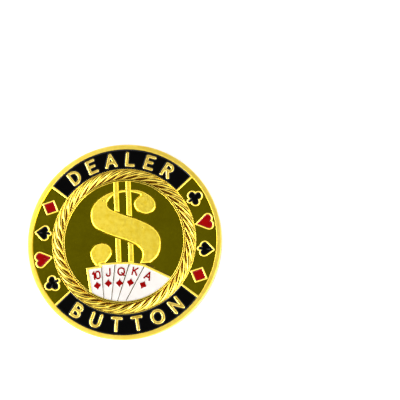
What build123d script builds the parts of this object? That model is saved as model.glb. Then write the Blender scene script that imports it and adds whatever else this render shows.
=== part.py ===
from build123d import *
import os
from math import cos, hypot, radians, sin, sqrt, tan

os.makedirs("parts", exist_ok=True)

# A round struck metal dealer button with soft-enamel fills. It lies on its
# reverse: the obverse faces +Z, its top is +Y, and the origin is the centre
# of the bottom rim. All lengths are in millimetres and all angles in degrees.

# ---- blank -----------------------------------------------------------------
DIAMETER = 50.0
RADIUS = DIAMETER / 2
THICKNESS = 3.0
RIM_WIDTH = 1.27            # flat, raised rim on both faces
RIM_ROUND = 0.30            # rounded shoulders of the rim
RIM_INNER = RADIUS - RIM_WIDTH

# ---- depths below the rim, the same on both faces ----------------------------
FIELD_DEPTH = 0.50          # mirror-polished field
RELIEF_DROP = 0.10          # raised work
ROPE_DROP = 0.34            # bed under the rope strands
CARD_BACK_DROP = 0.36       # inside the borders of the cards on the reverse
ENAMEL_DROP = 0.22          # enamel surface
POCKET_DEPTH = 0.80         # floor of the enamel pockets
WALL_LAP = 0.15             # how far walls run into the rim and the rope bed

# ---- obverse: rope ring, banners and suits ----------------------------------
ROPE_OUTER = 18.60
ROPE_INNER = 15.90
ROPE_EDGE = 15.40           # thin ring inside the rope
STRANDS = 40
STRAND_WIDTH = 0.85
STRAND_SWEEP = 11.0         # angle that one strand turns through
STRAND_MARGIN = 0.30        # bed left showing along both sides of the rope
BANNER_HALF_ANGLE = 50.0
SEPARATOR_ANGLE = 1.3       # angle across one raised separator
LETTER_HEIGHT = 3.10        # between the centre lines of the strokes
LETTER_STROKE = 0.72
LETTER_RADIUS = 21.15
TOP_WORD = "DEALER"
TOP_PITCH = 14.0
BOTTOM_WORD = "BUTTON"
BOTTOM_PITCH = 14.6
SUIT_RADIUS = 21.20
SUIT_ANGLES = (27.6, 9.2, -9.2, -27.6)
SUITS_LEFT = ("diamond", "spade", "heart", "club")
SUITS_RIGHT = ("club", "heart", "spade", "diamond")
SUIT_BORDER = 0.36

# ---- obverse: currency sign ---------------------------------------------------
BAR_CENTRE = 0.15
BAR_SPACING = 3.20
BAR_WIDTH = 1.35
BAR_BOTTOM = -6.2

# ---- obverse: fan of five cards -----------------------------------------------
CARD_BORDER = 0.42
CARD_GAP = 0.22
CARD_FOOT = 10.5            # how far the card edges run on under the ring
INDEX_HEIGHT = 1.70
INDEX_STROKE = 0.34
PIP_WIDTH = 0.85
PIP_HEIGHT = 1.10
# name, top-left corner, top-right corner, lean of the left edge, index centre,
# pip centre, turn of the index and pip
CARDS = (
    ("ten", (-9.45, -6.75), (-6.00, -6.45), 7.0, (-7.55, -8.40), (-7.20, -11.00), 6.0),
    ("jack", (-5.95, -5.85), (-2.50, -5.80), 2.0, (-4.30, -7.85), (-4.35, -10.60), 0.0),
    ("queen", (-2.40, -5.80), (1.15, -5.95), -8.3, (-0.95, -7.80), (-1.50, -10.70), -5.0),
    ("king", (1.30, -5.95), (4.85, -6.75), -20.6, (2.60, -8.00), (1.30, -10.70), -14.0),
    ("ace", (5.05, -6.85), (11.60, -10.40), -31.0, (5.90, -9.30), (4.50, -11.50), -28.0),
)
INDEX_TEXT = {"ten": "10", "jack": "J", "queen": "Q", "king": "K", "ace": "A"}

# ---- reverse -------------------------------------------------------------------
BACK_ROPE_OUTER = 17.40
BACK_ROPE_INNER = 15.40
BACK_ROPE_EDGE = 14.60
BACK_SEPARATORS = (30.0, 150.0, 210.0, 330.0)
STAR_ANGLES = (22.0, 7.3, -7.3, -22.0)
STAR_ORBIT = 20.50
STAR_RADIUS = 1.70
STAR_WAIST = 0.75
BACK_CARD_WIDTH = 12.80
BACK_CARD_HEIGHT = 19.20
BACK_CARD_CORNER = 1.20
BACK_CARD_BORDER = 0.50
BACK_CARD_CENTRE = (4.15, -0.55)
BACK_CARD_TURN = 14.5
CHIP_CENTRE = (0.0, 0.70)
CHIP_RINGS = ((8.60, 8.15), (5.90, 4.75))
CHIP_LOZENGES = 20
LOZENGE_ORBIT = 7.05
LOZENGE_SIZE = 0.80
BACK_TOP_WORDS = "SHUFFLE AND DEAL"
BACK_LOWER_WORDS = "CALL RAISE OR FOLD"
BACK_LETTER_HEIGHT = 2.30
BACK_LETTER_STROKE = 0.55
BACK_LETTER_RADIUS = 20.60
BACK_TOP_PITCH = 6.9
BACK_LOWER_PITCH = 6.2

# Strokes of the letters, in a box 1 high. Two points are a straight stroke and
# three points are an arc through the middle one. The first value is the width.
GLYPHS = {
    "0": (0.60, [((0, 0.3), (0.3, 0), (0.6, 0.3)), ((0.6, 0.3), (0.6, 0.7)),
                 ((0.6, 0.7), (0.3, 1), (0, 0.7)), ((0, 0.7), (0, 0.3))]),
    "1": (0.22, [((0.22, 0), (0.22, 1)), ((0, 0.75), (0.22, 1))]),
    "A": (0.80, [((0, 0), (0.4, 1)), ((0.4, 1), (0.8, 0)), ((0.13, 0.32), (0.67, 0.32))]),
    "B": (0.62, [((0, 0), (0, 1)), ((0, 1), (0.32, 1)), ((0.32, 1), (0.56, 0.76), (0.32, 0.52)),
                 ((0, 0.52), (0.36, 0.52)), ((0.36, 0.52), (0.62, 0.26), (0.36, 0)),
                 ((0.36, 0), (0, 0))]),
    "C": (0.75, [((0.75, 0.84), (0, 0.5), (0.75, 0.16))]),
    "D": (0.72, [((0, 0), (0, 1)), ((0, 1), (0.25, 1)), ((0.25, 1), (0.72, 0.5), (0.25, 0)),
                 ((0.25, 0), (0, 0))]),
    "E": (0.60, [((0, 0), (0, 1)), ((0, 1), (0.6, 1)), ((0, 0.52), (0.5, 0.52)),
                 ((0, 0), (0.6, 0))]),
    "F": (0.58, [((0, 0), (0, 1)), ((0, 1), (0.58, 1)), ((0, 0.52), (0.48, 0.52))]),
    "H": (0.70, [((0, 0), (0, 1)), ((0.7, 0), (0.7, 1)), ((0, 0.5), (0.7, 0.5))]),
    "I": (0.02, [((0.01, 0), (0.01, 1))]),
    "J": (0.50, [((0.5, 1), (0.5, 0.25)), ((0.5, 0.25), (0.25, 0), (0, 0.25))]),
    "K": (0.66, [((0, 0), (0, 1)), ((0.62, 1), (0, 0.42)), ((0.24, 0.64), (0.66, 0))]),
    "L": (0.55, [((0, 1), (0, 0)), ((0, 0), (0.55, 0))]),
    "N": (0.72, [((0, 0), (0, 1)), ((0, 1), (0.72, 0)), ((0.72, 0), (0.72, 1))]),
    "O": (0.90, [((0, 0.5), (0.45, 1), (0.9, 0.5)), ((0.9, 0.5), (0.45, 0), (0, 0.5))]),
    "Q": (0.90, [((0, 0.5), (0.45, 1), (0.9, 0.5)), ((0.9, 0.5), (0.45, 0), (0, 0.5)),
                 ((0.55, 0.3), (0.9, -0.04))]),
    "R": (0.64, [((0, 0), (0, 1)), ((0, 1), (0.34, 1)), ((0.34, 1), (0.6, 0.75), (0.34, 0.5)),
                 ((0.34, 0.5), (0, 0.5)), ((0.3, 0.5), (0.64, 0))]),
    "S": (0.60, [((0.58, 0.84), (0.12, 0.9), (0.3, 0.5)), ((0.3, 0.5), (0.48, 0.1), (0.02, 0.16))]),
    "T": (0.70, [((0, 1), (0.7, 1)), ((0.35, 1), (0.35, 0))]),
    "U": (0.70, [((0, 1), (0, 0.35)), ((0, 0.35), (0.35, 0), (0.7, 0.35)),
                 ((0.7, 0.35), (0.7, 1))]),
}


def obverse(depth):
    """The plane that lies this deep below the obverse rim, facing out."""
    return Plane.XY.offset(THICKNESS - depth)


def reverse(depth):
    """The plane that lies this deep below the reverse rim, facing out."""
    return Plane(origin=(0, 0, depth), x_dir=(-1, 0, 0), z_dir=(0, 0, -1))


def polar(radius, angle):
    return (radius * cos(radians(angle)), radius * sin(radians(angle)))


def letter(character, height, stroke):
    """One letter of rounded strokes, centred on its own origin."""
    width, strokes = GLYPHS[character]
    with BuildSketch() as glyph:
        for points in strokes:
            placed = [((x - width / 2) * height, (y - 0.5) * height) for x, y in points]
            if len(placed) == 3:
                SlotArc(ThreePointArc(*placed, mode=Mode.PRIVATE), stroke)
            else:
                SlotCenterPoint(
                    ((placed[0][0] + placed[1][0]) / 2, (placed[0][1] + placed[1][1]) / 2),
                    placed[1],
                    stroke,
                )
    return glyph.sketch


def arc_word(word, radius, middle, pitch, height, stroke, reads_inward=False):
    """A word along an arc, its letters' tops outward unless it reads inward."""
    turn = 90.0 if reads_inward else -90.0
    step = pitch if reads_inward else -pitch
    first = middle - step * (len(word) - 1) / 2
    with BuildSketch() as line:
        for place, character in enumerate(word):
            if character == " ":
                continue
            angle = first + step * place
            x, y = polar(radius, angle)
            with Locations(Location((x, y, 0), (0, 0, angle + turn))):
                add(letter(character, height, stroke))
    return line.sketch


def taper(start, start_radius, end, end_radius):
    """The outline of a belt round two circles, added to the open sketch."""
    dx, dy = end[0] - start[0], end[1] - start[1]
    length = hypot(dx, dy)
    along = (start_radius - end_radius) / length
    across = sqrt(1 - along * along)
    corners = []
    for side in (1, -1):
        nx = (dx * along - side * dy * across) / length
        ny = (dy * along + side * dx * across) / length
        ends = [(start, start_radius), (end, end_radius)]
        for (cx, cy), size in ends[::side]:
            corners.append((cx + nx * size, cy + ny * size))
    Polygon(*corners, align=None)
    for centre, size in ((start, start_radius), (end, end_radius)):
        with Locations(centre):
            Circle(size)


def suit(name, grow=0.0):
    """A playing-card suit about 4 mm high, grown evenly by the given amount."""
    tip = 0.06 + grow
    with BuildSketch() as shape:
        if name == "diamond":
            half_width, half_height = 1.72, 1.90
            scale = 1 + grow * hypot(half_width, half_height) / (half_width * half_height)
            Polygon(
                (0, half_height * scale),
                (-half_width * scale, 0),
                (0, -half_height * scale),
                (half_width * scale, 0),
                align=None,
            )
        elif name == "heart":
            for side in (-1, 1):
                taper((0.85 * side, 0.95), 0.95 + grow, (0, -1.90), tip)
            with Locations((0, 0.2)):
                Circle(0.6)
        elif name == "spade":
            for side in (-1, 1):
                taper((0.82 * side, -0.45), 0.86 + grow, (0, 1.75), tip)
            taper((0, 0.0), 0.30 + grow, (0, -1.60), 0.34 + grow)
        else:
            for centre in ((0, 0.95), (-0.92, -0.35), (0.92, -0.35)):
                with Locations(centre):
                    Circle(0.88 + grow)
            taper((0, 0.2), 0.45 + grow, (0, -1.60), 0.34 + grow)
    return shape.sketch


def suit_places(side):
    """The suits of one side with their places: outward is each suit's up."""
    names = SUITS_RIGHT if side == "right" else SUITS_LEFT
    for name, angle in zip(names, SUIT_ANGLES):
        heading = angle if side == "right" else 180 - angle
        x, y = polar(SUIT_RADIUS, heading)
        yield name, Location((x, y, 0), (0, 0, heading - 90))


def sector(middle, half_angle, inner, outer):
    """A slice of a ring, seen as a closed face."""
    start, end = middle - half_angle, middle + half_angle
    with BuildSketch() as slice_of_ring:
        with BuildLine():
            CenterArc((0, 0), outer, start, end - start)
            Line(polar(outer, end), polar(inner, end))
            CenterArc((0, 0), inner, start, end - start)
            Line(polar(inner, start), polar(outer, start))
        make_face()
    return slice_of_ring.sketch


def card(index, grow):
    """The seen part of one card of the fan, cut by the ring under the rope."""
    name, top_left, top_right, lean, *_ = CARDS[index]
    foot_left = (top_left[0] + CARD_FOOT * tan(radians(lean)), top_left[1] - CARD_FOOT)
    if index + 1 < len(CARDS):
        next_left, next_lean = CARDS[index + 1][1], CARDS[index + 1][3]
        foot_right = (next_left[0] + CARD_FOOT * tan(radians(next_lean)), next_left[1] - CARD_FOOT)
    else:
        foot_right = (top_right[0], top_right[1] - CARD_FOOT)
    with BuildSketch() as face:
        Polygon(top_left, foot_left, foot_right, top_right, align=None)
        offset(amount=grow, kind=Kind.INTERSECTION)
        Circle(ROPE_EDGE - CARD_GAP / 2 if grow < 0 else ROPE_EDGE + 0.1, mode=Mode.INTERSECT)
    return face.sketch


def card_mark(text, centre, turn):
    """A card's corner index: one letter or the two figures of a ten."""
    advance = 0.62 * INDEX_HEIGHT
    with BuildSketch() as mark:
        for place, character in enumerate(text):
            shift = advance * (place - (len(text) - 1) / 2)
            x = centre[0] + shift * cos(radians(turn))
            y = centre[1] + shift * sin(radians(turn))
            with Locations(Location((x, y, 0), (0, 0, turn))):
                add(letter(character, INDEX_HEIGHT, INDEX_STROKE))
    return mark.sketch


def card_pip(centre, turn):
    with BuildSketch() as pip:
        with Locations(Location((centre[0], centre[1], 0), (0, 0, turn))):
            Polygon((0, PIP_HEIGHT), (-PIP_WIDTH, 0), (0, -PIP_HEIGHT), (PIP_WIDTH, 0), align=None)
    return pip.sketch


def currency_sign():
    """A dollar sign with ball ends and a double bar, cut off by the cards."""
    with BuildSketch() as sign:
        with BuildLine():
            Spline((0.2, 13.35), (-3.2, 12.85), (-6.3, 11.2), (-8.1, 8.9), (-8.3, 5.7), (-7.0, 3.5),
                   (-3.4, 1.5), (0.6, -0.1), (3.5, -1.7), (4.6, -3.6), (3.75, -6.2))
            Line((3.75, -6.2), (6.5, -6.2))
            Spline((6.5, -6.2), (8.6, -4.4), (9.65, -1.6), (9.3, 1.0), (7.4, 3.4), (4.05, 5.3),
                   (1.1, 6.5), (-2.1, 7.95), (-3.75, 9.3), (-3.3, 11.0), (-0.9, 12.15), (2.1, 12.25),
                   (4.7, 11.5))
            Spline((4.7, 11.5), (3.2, 10.3), (2.95, 8.8), (4.1, 7.1), (6.3, 6.35), (8.2, 7.35),
                   (8.75, 9.2), (7.4, 11.3), (4.3, 13.0), (0.2, 13.35))
        make_face()
        with BuildLine():
            Spline((-7.3, -6.3), (-8.5, -4.4), (-8.8, -2.4), (-7.7, -0.7), (-6.0, -0.15), (-4.3, -0.5),
                   (-3.2, -1.8), (-3.4, -3.6), (-5.7, -6.3))
            Line((-5.7, -6.3), (-7.3, -6.3))
        make_face()
        bar_height = ROPE_EDGE + 0.2 - BAR_BOTTOM
        for side in (-1, 1):
            with Locations((BAR_CENTRE + side * BAR_SPACING / 2, BAR_BOTTOM)):
                Rectangle(BAR_WIDTH, bar_height, align=(Align.CENTER, Align.MIN))
        Circle(ROPE_EDGE + 0.2, mode=Mode.INTERSECT)
    return sign.sketch


def rope_strands(outer, inner):
    """The slanted strands of a rope ring, each running inward as it turns left."""
    inset = STRAND_WIDTH / 2 + STRAND_MARGIN
    start = polar(outer - inset, 0)
    end = polar(inner + inset, STRAND_SWEEP)
    middle = ((start[0] + end[0]) / 2, (start[1] + end[1]) / 2)
    with BuildSketch() as rope:
        with PolarLocations(0, STRANDS):
            SlotCenterPoint(middle, end, STRAND_WIDTH)
    return rope.sketch


def ring(outer, inner):
    with BuildSketch() as band:
        Circle(outer)
        Circle(inner, mode=Mode.SUBTRACT)
    return band.sketch


def back_card(side, inset):
    """One of the two cards on the reverse, drawn in by the width of its border."""
    place = Location((side * BACK_CARD_CENTRE[0], BACK_CARD_CENTRE[1], 0),
                     (0, 0, -side * BACK_CARD_TURN))
    with BuildSketch() as face:
        with Locations(place):
            RectangleRounded(BACK_CARD_WIDTH - 2 * inset, BACK_CARD_HEIGHT - 2 * inset,
                             BACK_CARD_CORNER - inset)
    return face.sketch


def star(centre, heading):
    """A five-pointed star with its first point along the heading."""
    points = []
    for step in range(10):
        size = STAR_RADIUS if step % 2 == 0 else STAR_WAIST
        dx, dy = polar(size, heading + 36 * step)
        points.append((centre[0] + dx, centre[1] + dy))
    return Polygon(*points, align=None, mode=Mode.PRIVATE)


# ---- enamel pockets, shared by the metal and by the fills ---------------------
top_word = arc_word(TOP_WORD, LETTER_RADIUS, 90, TOP_PITCH, LETTER_HEIGHT, LETTER_STROKE)
bottom_word = arc_word(
    BOTTOM_WORD, LETTER_RADIUS, 270, BOTTOM_PITCH, LETTER_HEIGHT, LETTER_STROKE, reads_inward=True
)
banner_gap = BANNER_HALF_ANGLE - SEPARATOR_ANGLE / 2

with BuildSketch() as banner_top_pocket:
    add(sector(90, banner_gap, ROPE_OUTER, RIM_INNER))
    add(top_word, mode=Mode.SUBTRACT)

with BuildSketch() as banner_bottom_pocket:
    add(sector(270, banner_gap, ROPE_OUTER, RIM_INNER))
    add(bottom_word, mode=Mode.SUBTRACT)

suit_pockets = {}
suit_walls = []
for side_name in ("left", "right"):
    for suit_name, place in suit_places(side_name):
        suit_pockets[f"{side_name}_{suit_name}"] = suit(suit_name).moved(place)
        suit_walls.append(suit(suit_name, SUIT_BORDER).moved(place))

card_pockets = [card(number, -CARD_GAP / 2) for number in range(len(CARDS))]
card_walls = [card(number, CARD_BORDER) for number in range(len(CARDS))]

# ---- struck metal body: blank, fields and raised work of both faces -----------
with BuildPart() as struck_body:
    Cylinder(RADIUS, THICKNESS, align=(Align.CENTER, Align.CENTER, Align.MIN))
    fillet(struck_body.edges().filter_by(GeomType.CIRCLE), RIM_ROUND)
    for face_plane in (obverse(FIELD_DEPTH), reverse(FIELD_DEPTH)):
        with BuildSketch(face_plane):
            Circle(RIM_INNER)
        extrude(amount=FIELD_DEPTH, mode=Mode.SUBTRACT)

    # obverse: walls of the banners, suits and cards, rope edges and currency sign
    with BuildSketch(obverse(FIELD_DEPTH)):
        for middle in (90, 270):
            add(sector(middle, BANNER_HALF_ANGLE + SEPARATOR_ANGLE / 2, ROPE_OUTER - WALL_LAP,
                       RIM_INNER + WALL_LAP))
        add(ring(ROPE_OUTER, ROPE_OUTER - WALL_LAP))
        add(ring(ROPE_INNER, ROPE_EDGE))
        for wall in suit_walls + card_walls:
            add(wall)
        add(currency_sign())
    extrude(amount=FIELD_DEPTH - RELIEF_DROP)

    # obverse: bed under the rope, between its two thin edge rings
    with BuildSketch(obverse(FIELD_DEPTH)):
        add(ring(ROPE_OUTER - WALL_LAP / 2, ROPE_INNER - WALL_LAP))
    extrude(amount=FIELD_DEPTH - ROPE_DROP)

    # obverse: pockets for the enamel, which leave the letters standing
    with BuildSketch(obverse(POCKET_DEPTH)):
        add(banner_top_pocket.sketch)
        add(banner_bottom_pocket.sketch)
        for pocket in list(suit_pockets.values()) + card_pockets:
            add(pocket)
    extrude(amount=POCKET_DEPTH, mode=Mode.SUBTRACT)

    # obverse: strands of the rope
    with BuildSketch(obverse(ROPE_DROP)):
        add(rope_strands(ROPE_OUTER, ROPE_INNER))
    extrude(amount=ROPE_DROP - RELIEF_DROP)

    # reverse: two cards, low inside their borders, and the chip on top of them
    with BuildSketch(reverse(FIELD_DEPTH)):
        add(ring(BACK_ROPE_OUTER, BACK_ROPE_EDGE))
        add(back_card(-1, 0))
        add(back_card(1, 0))
    extrude(amount=FIELD_DEPTH - CARD_BACK_DROP)
    with BuildSketch(reverse(CARD_BACK_DROP)):
        for side in (-1, 1):
            add(back_card(side, 0))
            add(back_card(side, BACK_CARD_BORDER), mode=Mode.SUBTRACT)
        for outer_radius, inner_radius in CHIP_RINGS:
            with Locations(CHIP_CENTRE):
                Circle(outer_radius)
                Circle(inner_radius, mode=Mode.SUBTRACT)
        with Locations(CHIP_CENTRE):
            with PolarLocations(LOZENGE_ORBIT, CHIP_LOZENGES):
                Rectangle(LOZENGE_SIZE, LOZENGE_SIZE, rotation=45)
            add(suit("spade"))
        add(rope_strands(BACK_ROPE_OUTER, BACK_ROPE_INNER))
    extrude(amount=CARD_BACK_DROP - RELIEF_DROP)

    # reverse: separators, stars and words of the outer band
    with BuildSketch(reverse(FIELD_DEPTH)):
        for angle in BACK_SEPARATORS:
            add(sector(angle, SEPARATOR_ANGLE / 2, BACK_ROPE_OUTER - WALL_LAP,
                       RIM_INNER + WALL_LAP))
        for heading in STAR_ANGLES + tuple(180 - angle for angle in STAR_ANGLES):
            add(star(polar(STAR_ORBIT, heading), heading))
        add(arc_word(BACK_TOP_WORDS, BACK_LETTER_RADIUS, 90, BACK_TOP_PITCH,
                     BACK_LETTER_HEIGHT, BACK_LETTER_STROKE))
        add(arc_word(BACK_LOWER_WORDS, BACK_LETTER_RADIUS, 270, BACK_LOWER_PITCH,
                     BACK_LETTER_HEIGHT, BACK_LETTER_STROKE, reads_inward=True))
    extrude(amount=FIELD_DEPTH - RELIEF_DROP)
struck_body.part.label = "struck_body"
export_step(struck_body.part, "parts/struck_body.step")


def export_fill(name, outline, cut_outs=()):
    """One enamel fill: an outline filled from the pocket floor upward."""
    with BuildPart() as fill:
        with BuildSketch(obverse(POCKET_DEPTH)):
            add(outline)
            for cut_out in cut_outs:
                add(cut_out, mode=Mode.SUBTRACT)
        extrude(amount=POCKET_DEPTH - ENAMEL_DROP)
    fill.part.label = name
    export_step(fill.part, f"parts/{name}.step")


# ---- black banners and the eight suits -------------------------------------------
export_fill("banner_top_enamel", banner_top_pocket.sketch)
export_fill("banner_bottom_enamel", banner_bottom_pocket.sketch)
for pocket_name, pocket in suit_pockets.items():
    export_fill(f"{pocket_name}_enamel", pocket)

# ---- card faces, their indices and their diamond pips ------------------------------
for number, (card_name, _, _, _, index_centre, pip_centre, mark_turn) in enumerate(CARDS):
    index_mark = card_mark(INDEX_TEXT[card_name], index_centre, mark_turn)
    pip_mark = card_pip(pip_centre, mark_turn)
    export_fill(f"card_{card_name}_enamel", card_pockets[number], (index_mark, pip_mark))
    export_fill(f"card_{card_name}_index", index_mark)
    export_fill(f"card_{card_name}_pip", pip_mark)
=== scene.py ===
"""Looks of the metal dealer button: struck, gold-plated relief with soft-enamel fills.

Shapes are described in millimetres in the button's own frame (x to the right of the
obverse, y to its top, z out of the obverse) and turned into metres when a mesh is made.
Flat relief is drawn as signed distance functions, negative inside, traced into outlines
and raised with bevelled edges. Reverse pieces are drawn as seen from behind, then turned.
"""

import math
import random

import bpy
import numpy as np
from mathutils import Matrix, Vector
from mathutils.geometry import delaunay_2d_cdt


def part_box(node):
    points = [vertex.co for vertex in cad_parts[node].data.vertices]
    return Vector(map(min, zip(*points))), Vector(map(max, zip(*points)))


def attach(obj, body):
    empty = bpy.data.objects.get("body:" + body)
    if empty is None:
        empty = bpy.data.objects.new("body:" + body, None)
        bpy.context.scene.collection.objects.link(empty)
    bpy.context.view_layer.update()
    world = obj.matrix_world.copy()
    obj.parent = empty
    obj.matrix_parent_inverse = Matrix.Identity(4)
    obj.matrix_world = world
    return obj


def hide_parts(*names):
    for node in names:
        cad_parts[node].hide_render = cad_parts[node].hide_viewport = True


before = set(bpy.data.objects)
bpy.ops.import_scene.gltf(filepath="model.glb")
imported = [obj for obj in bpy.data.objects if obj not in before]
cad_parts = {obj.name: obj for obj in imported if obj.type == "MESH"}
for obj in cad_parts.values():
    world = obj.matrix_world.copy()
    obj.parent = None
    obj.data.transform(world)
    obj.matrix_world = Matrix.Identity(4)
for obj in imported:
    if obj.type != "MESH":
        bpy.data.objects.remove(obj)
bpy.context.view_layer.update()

MM = 0.001
BODY_LOW, BODY_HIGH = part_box("struck_body")
RADIUS = (BODY_HIGH[0] - BODY_LOW[0]) / 2 / MM
THICKNESS = (BODY_HIGH[2] - BODY_LOW[2]) / MM

# Heights and radii of the struck work, in mm
RIM_WIDTH = 1.27
RIM_INNER = RADIUS - RIM_WIDTH
FIELD_Z = THICKNESS - 0.50
RELIEF_Z = THICKNESS - 0.10
UNDERSIDE = FIELD_Z - 0.05
ENAMEL_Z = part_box("banner_top_enamel")[1][2] / MM
ROPE_OUTER, ROPE_INNER, ROPE_EDGE = 18.60, 15.90, 15.40
BACK_ROPE_OUTER, BACK_ROPE_INNER, BACK_ROPE_EDGE = 17.40, 15.40, 14.60
STRANDS = 40
BANNER_HALF_ANGLE = 50.0
SEPARATOR_ANGLE = 1.3
SEPARATORS = tuple(middle + side * BANNER_HALF_ANGLE for middle in (90, 270) for side in (-1, 1))
BAND_MIDDLE = 21.10
LETTER_RADIUS, LETTER_HEIGHT, LETTER_STROKE = 21.15, 3.10, 0.72
SUIT_RADIUS = 21.20
SUIT_ANGLES = (27.6, 9.2, -9.2, -27.6)
SUITS_LEFT = ("diamond", "spade", "heart", "club")
SUITS_RIGHT = ("club", "heart", "spade", "diamond")
SUIT_BORDER = 0.36
BAR_CENTRE = 0.15
BAR_SPACING = 3.20
BAR_WIDTH = 1.35
SIGN_BOX = (-10, -7, 11, 16)
CARD_BORDER = 0.42
CARD_GAP = 0.15
INDEX_HEIGHT = 1.80
INDEX_STROKE = 0.42
FAN_BOX = (-11, -16, 13, -5)

# name, word, angle of its middle, angle between letters, whether it reads inward, box
BANNERS = (("top", "DEALER", 90, 14.0, False, (-19.5, 10.5, 19.5, 24.2)),
           ("bottom", "BUTTON", 270, 14.6, True, (-19.5, -24.2, 19.5, -10.5)))
# name, top-left corner, top-right corner, lean of the left edge, index centre,
# pip centre, turn of the index and pip
CARDS = (
    ("ten", (-9.45, -6.75), (-6.00, -6.45), 7.0, (-7.55, -8.40), (-7.20, -11.00), 6.0),
    ("jack", (-5.95, -5.85), (-2.50, -5.80), 2.0, (-4.30, -7.85), (-4.35, -10.60), 0.0),
    ("queen", (-2.40, -5.80), (1.15, -5.95), -8.3, (-0.95, -7.80), (-1.50, -10.70), -5.0),
    ("king", (1.30, -5.95), (4.97, -6.79), -20.6, (2.60, -8.00), (1.30, -10.70), -14.0),
    ("ace", (5.05, -6.85), (11.60, -10.40), -31.0, (5.90, -9.30), (4.50, -11.50), -28.0),
)
# Seen stretches of the cards behind: two ends and the height of the bow over them
CARD_ENDS = (((-2.3, -5.55), (0.6, -5.45), 0.55), ((0.9, -5.65), (3.9, -5.85), 0.50),
             ((4.2, -6.15), (7.6, -7.25), 0.35), ((8.1, -8.15), (11.2, -9.75), 0.55))
INDEX_TEXT = {"ten": "10", "jack": "J", "queen": "Q", "king": "K", "ace": "A"}

# Reverse, drawn as seen from behind. The ground of its cards lies at CARD_Z.
CARD_Z = THICKNESS - 0.36
BACK_SEPARATORS = (30.0, 150.0, 210.0, 330.0)
STAR_ANGLES = (22.0, 7.3, -7.3, -22.0)
STAR_ORBIT, STAR_RADIUS, STAR_WAIST = 20.50, 1.70, 0.75
BACK_CARD_WIDTH, BACK_CARD_HEIGHT = 12.80, 19.20
BACK_CARD_CORNER, BACK_CARD_BORDER = 1.20, 0.50
BACK_CARD_CENTRE = (4.15, -0.55)
BACK_CARD_TURN = 14.5
BACK_BOX = (-14.6, -14.6, 14.6, 14.6)
CHIP_CENTRE = (0.0, 0.70)
CHIP_RINGS = ((8.60, 8.15), (5.90, 4.75))
CHIP_LOZENGES, LOZENGE_ORBIT, LOZENGE_LONG, LOZENGE_WIDE = 20, 7.05, 0.92, 0.72
CHIP_RAYS, RAY_START, RAY_END, RAY_STROKE = 12, 3.25, 4.25, 0.42
BACK_LETTER_HEIGHT, BACK_LETTER_STROKE, BACK_LETTER_RADIUS = 2.30, 0.55, 20.60
BACK_WORDS = (("top", "SHUFFLE AND DEAL", 90, 6.9, False),
              ("lower", "CALL RAISE OR FOLD", 270, 6.2, True))

# Strokes of the letters, in a box 1 high. Two points are a straight stroke and
# three points are an arc through the middle one. The first value is the width.
STEM = ((0, 0), (0, 1))
BOWLS = [((0, 0.5), (0.45, 1), (0.9, 0.5)), ((0.9, 0.5), (0.45, 0), (0, 0.5))]
GLYPHS = {
    "0": (0.60, [((0, 0.3), (0.3, 0), (0.6, 0.3)), ((0.6, 0.3), (0.6, 0.7)),
                 ((0.6, 0.7), (0.3, 1), (0, 0.7)), ((0, 0.7), (0, 0.3))]),
    "1": (0.22, [((0.22, 0), (0.22, 1)), ((0, 0.75), (0.22, 1))]),
    "A": (0.80, [((0, 0), (0.4, 1)), ((0.4, 1), (0.8, 0)), ((0.13, 0.32), (0.67, 0.32))]),
    "B": (0.62, [STEM, ((0, 1), (0.32, 1)), ((0.32, 1), (0.56, 0.76), (0.32, 0.52)),
                 ((0, 0.52), (0.36, 0.52)), ((0.36, 0.52), (0.62, 0.26), (0.36, 0)),
                 ((0.36, 0), (0, 0))]),
    "C": (0.75, [((0.75, 0.84), (0, 0.5), (0.75, 0.16))]),
    "D": (0.72, [STEM, ((0, 1), (0.25, 1)), ((0.25, 1), (0.72, 0.5), (0.25, 0)),
                 ((0.25, 0), (0, 0))]),
    "E": (0.60, [STEM, ((0, 1), (0.6, 1)), ((0, 0.52), (0.5, 0.52)),
                 ((0, 0), (0.6, 0))]),
    "F": (0.58, [STEM, ((0, 1), (0.58, 1)), ((0, 0.52), (0.48, 0.52))]),
    "H": (0.70, [STEM, ((0.7, 0), (0.7, 1)), ((0, 0.5), (0.7, 0.5))]),
    "I": (0.02, [((0.01, 0), (0.01, 1))]),
    "J": (0.50, [((0.5, 1), (0.5, 0.25)), ((0.5, 0.25), (0.25, 0), (0, 0.25))]),
    "K": (0.66, [STEM, ((0.62, 1), (0, 0.42)), ((0.24, 0.64), (0.66, 0))]),
    "L": (0.55, [((0, 1), (0, 0)), ((0, 0), (0.55, 0))]),
    "N": (0.72, [STEM, ((0, 1), (0.72, 0)), ((0.72, 0), (0.72, 1))]),
    "O": (0.90, BOWLS),
    "Q": (0.90, BOWLS + [((0.55, 0.3), (0.9, -0.04))]),
    "R": (0.64, [STEM, ((0, 1), (0.34, 1)), ((0.34, 1), (0.6, 0.75), (0.34, 0.5)),
                 ((0.34, 0.5), (0, 0.5)), ((0.3, 0.5), (0.64, 0))]),
    "S": (0.60, [((0.58, 0.84), (0.12, 0.9), (0.3, 0.5)), ((0.3, 0.5), (0.48, 0.1), (0.02, 0.16))]),
    "T": (0.70, [((0, 1), (0.7, 1)), ((0.35, 1), (0.35, 0))]),
    "U": (0.70, [((0, 1), (0, 0.35)), ((0, 0.35), (0.35, 0), (0.7, 0.35)),
                 ((0.7, 0.35), (0.7, 1))]),
}


# ---- camera ----

CAMERA_AT = (39.9, -26.6, 216.9)
CAMERA_LOOKS_AT = (19.79, 9.57, 0.0)
CAMERA_ROLL = -3.1
FIELD_OF_VIEW = 26.25


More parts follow.
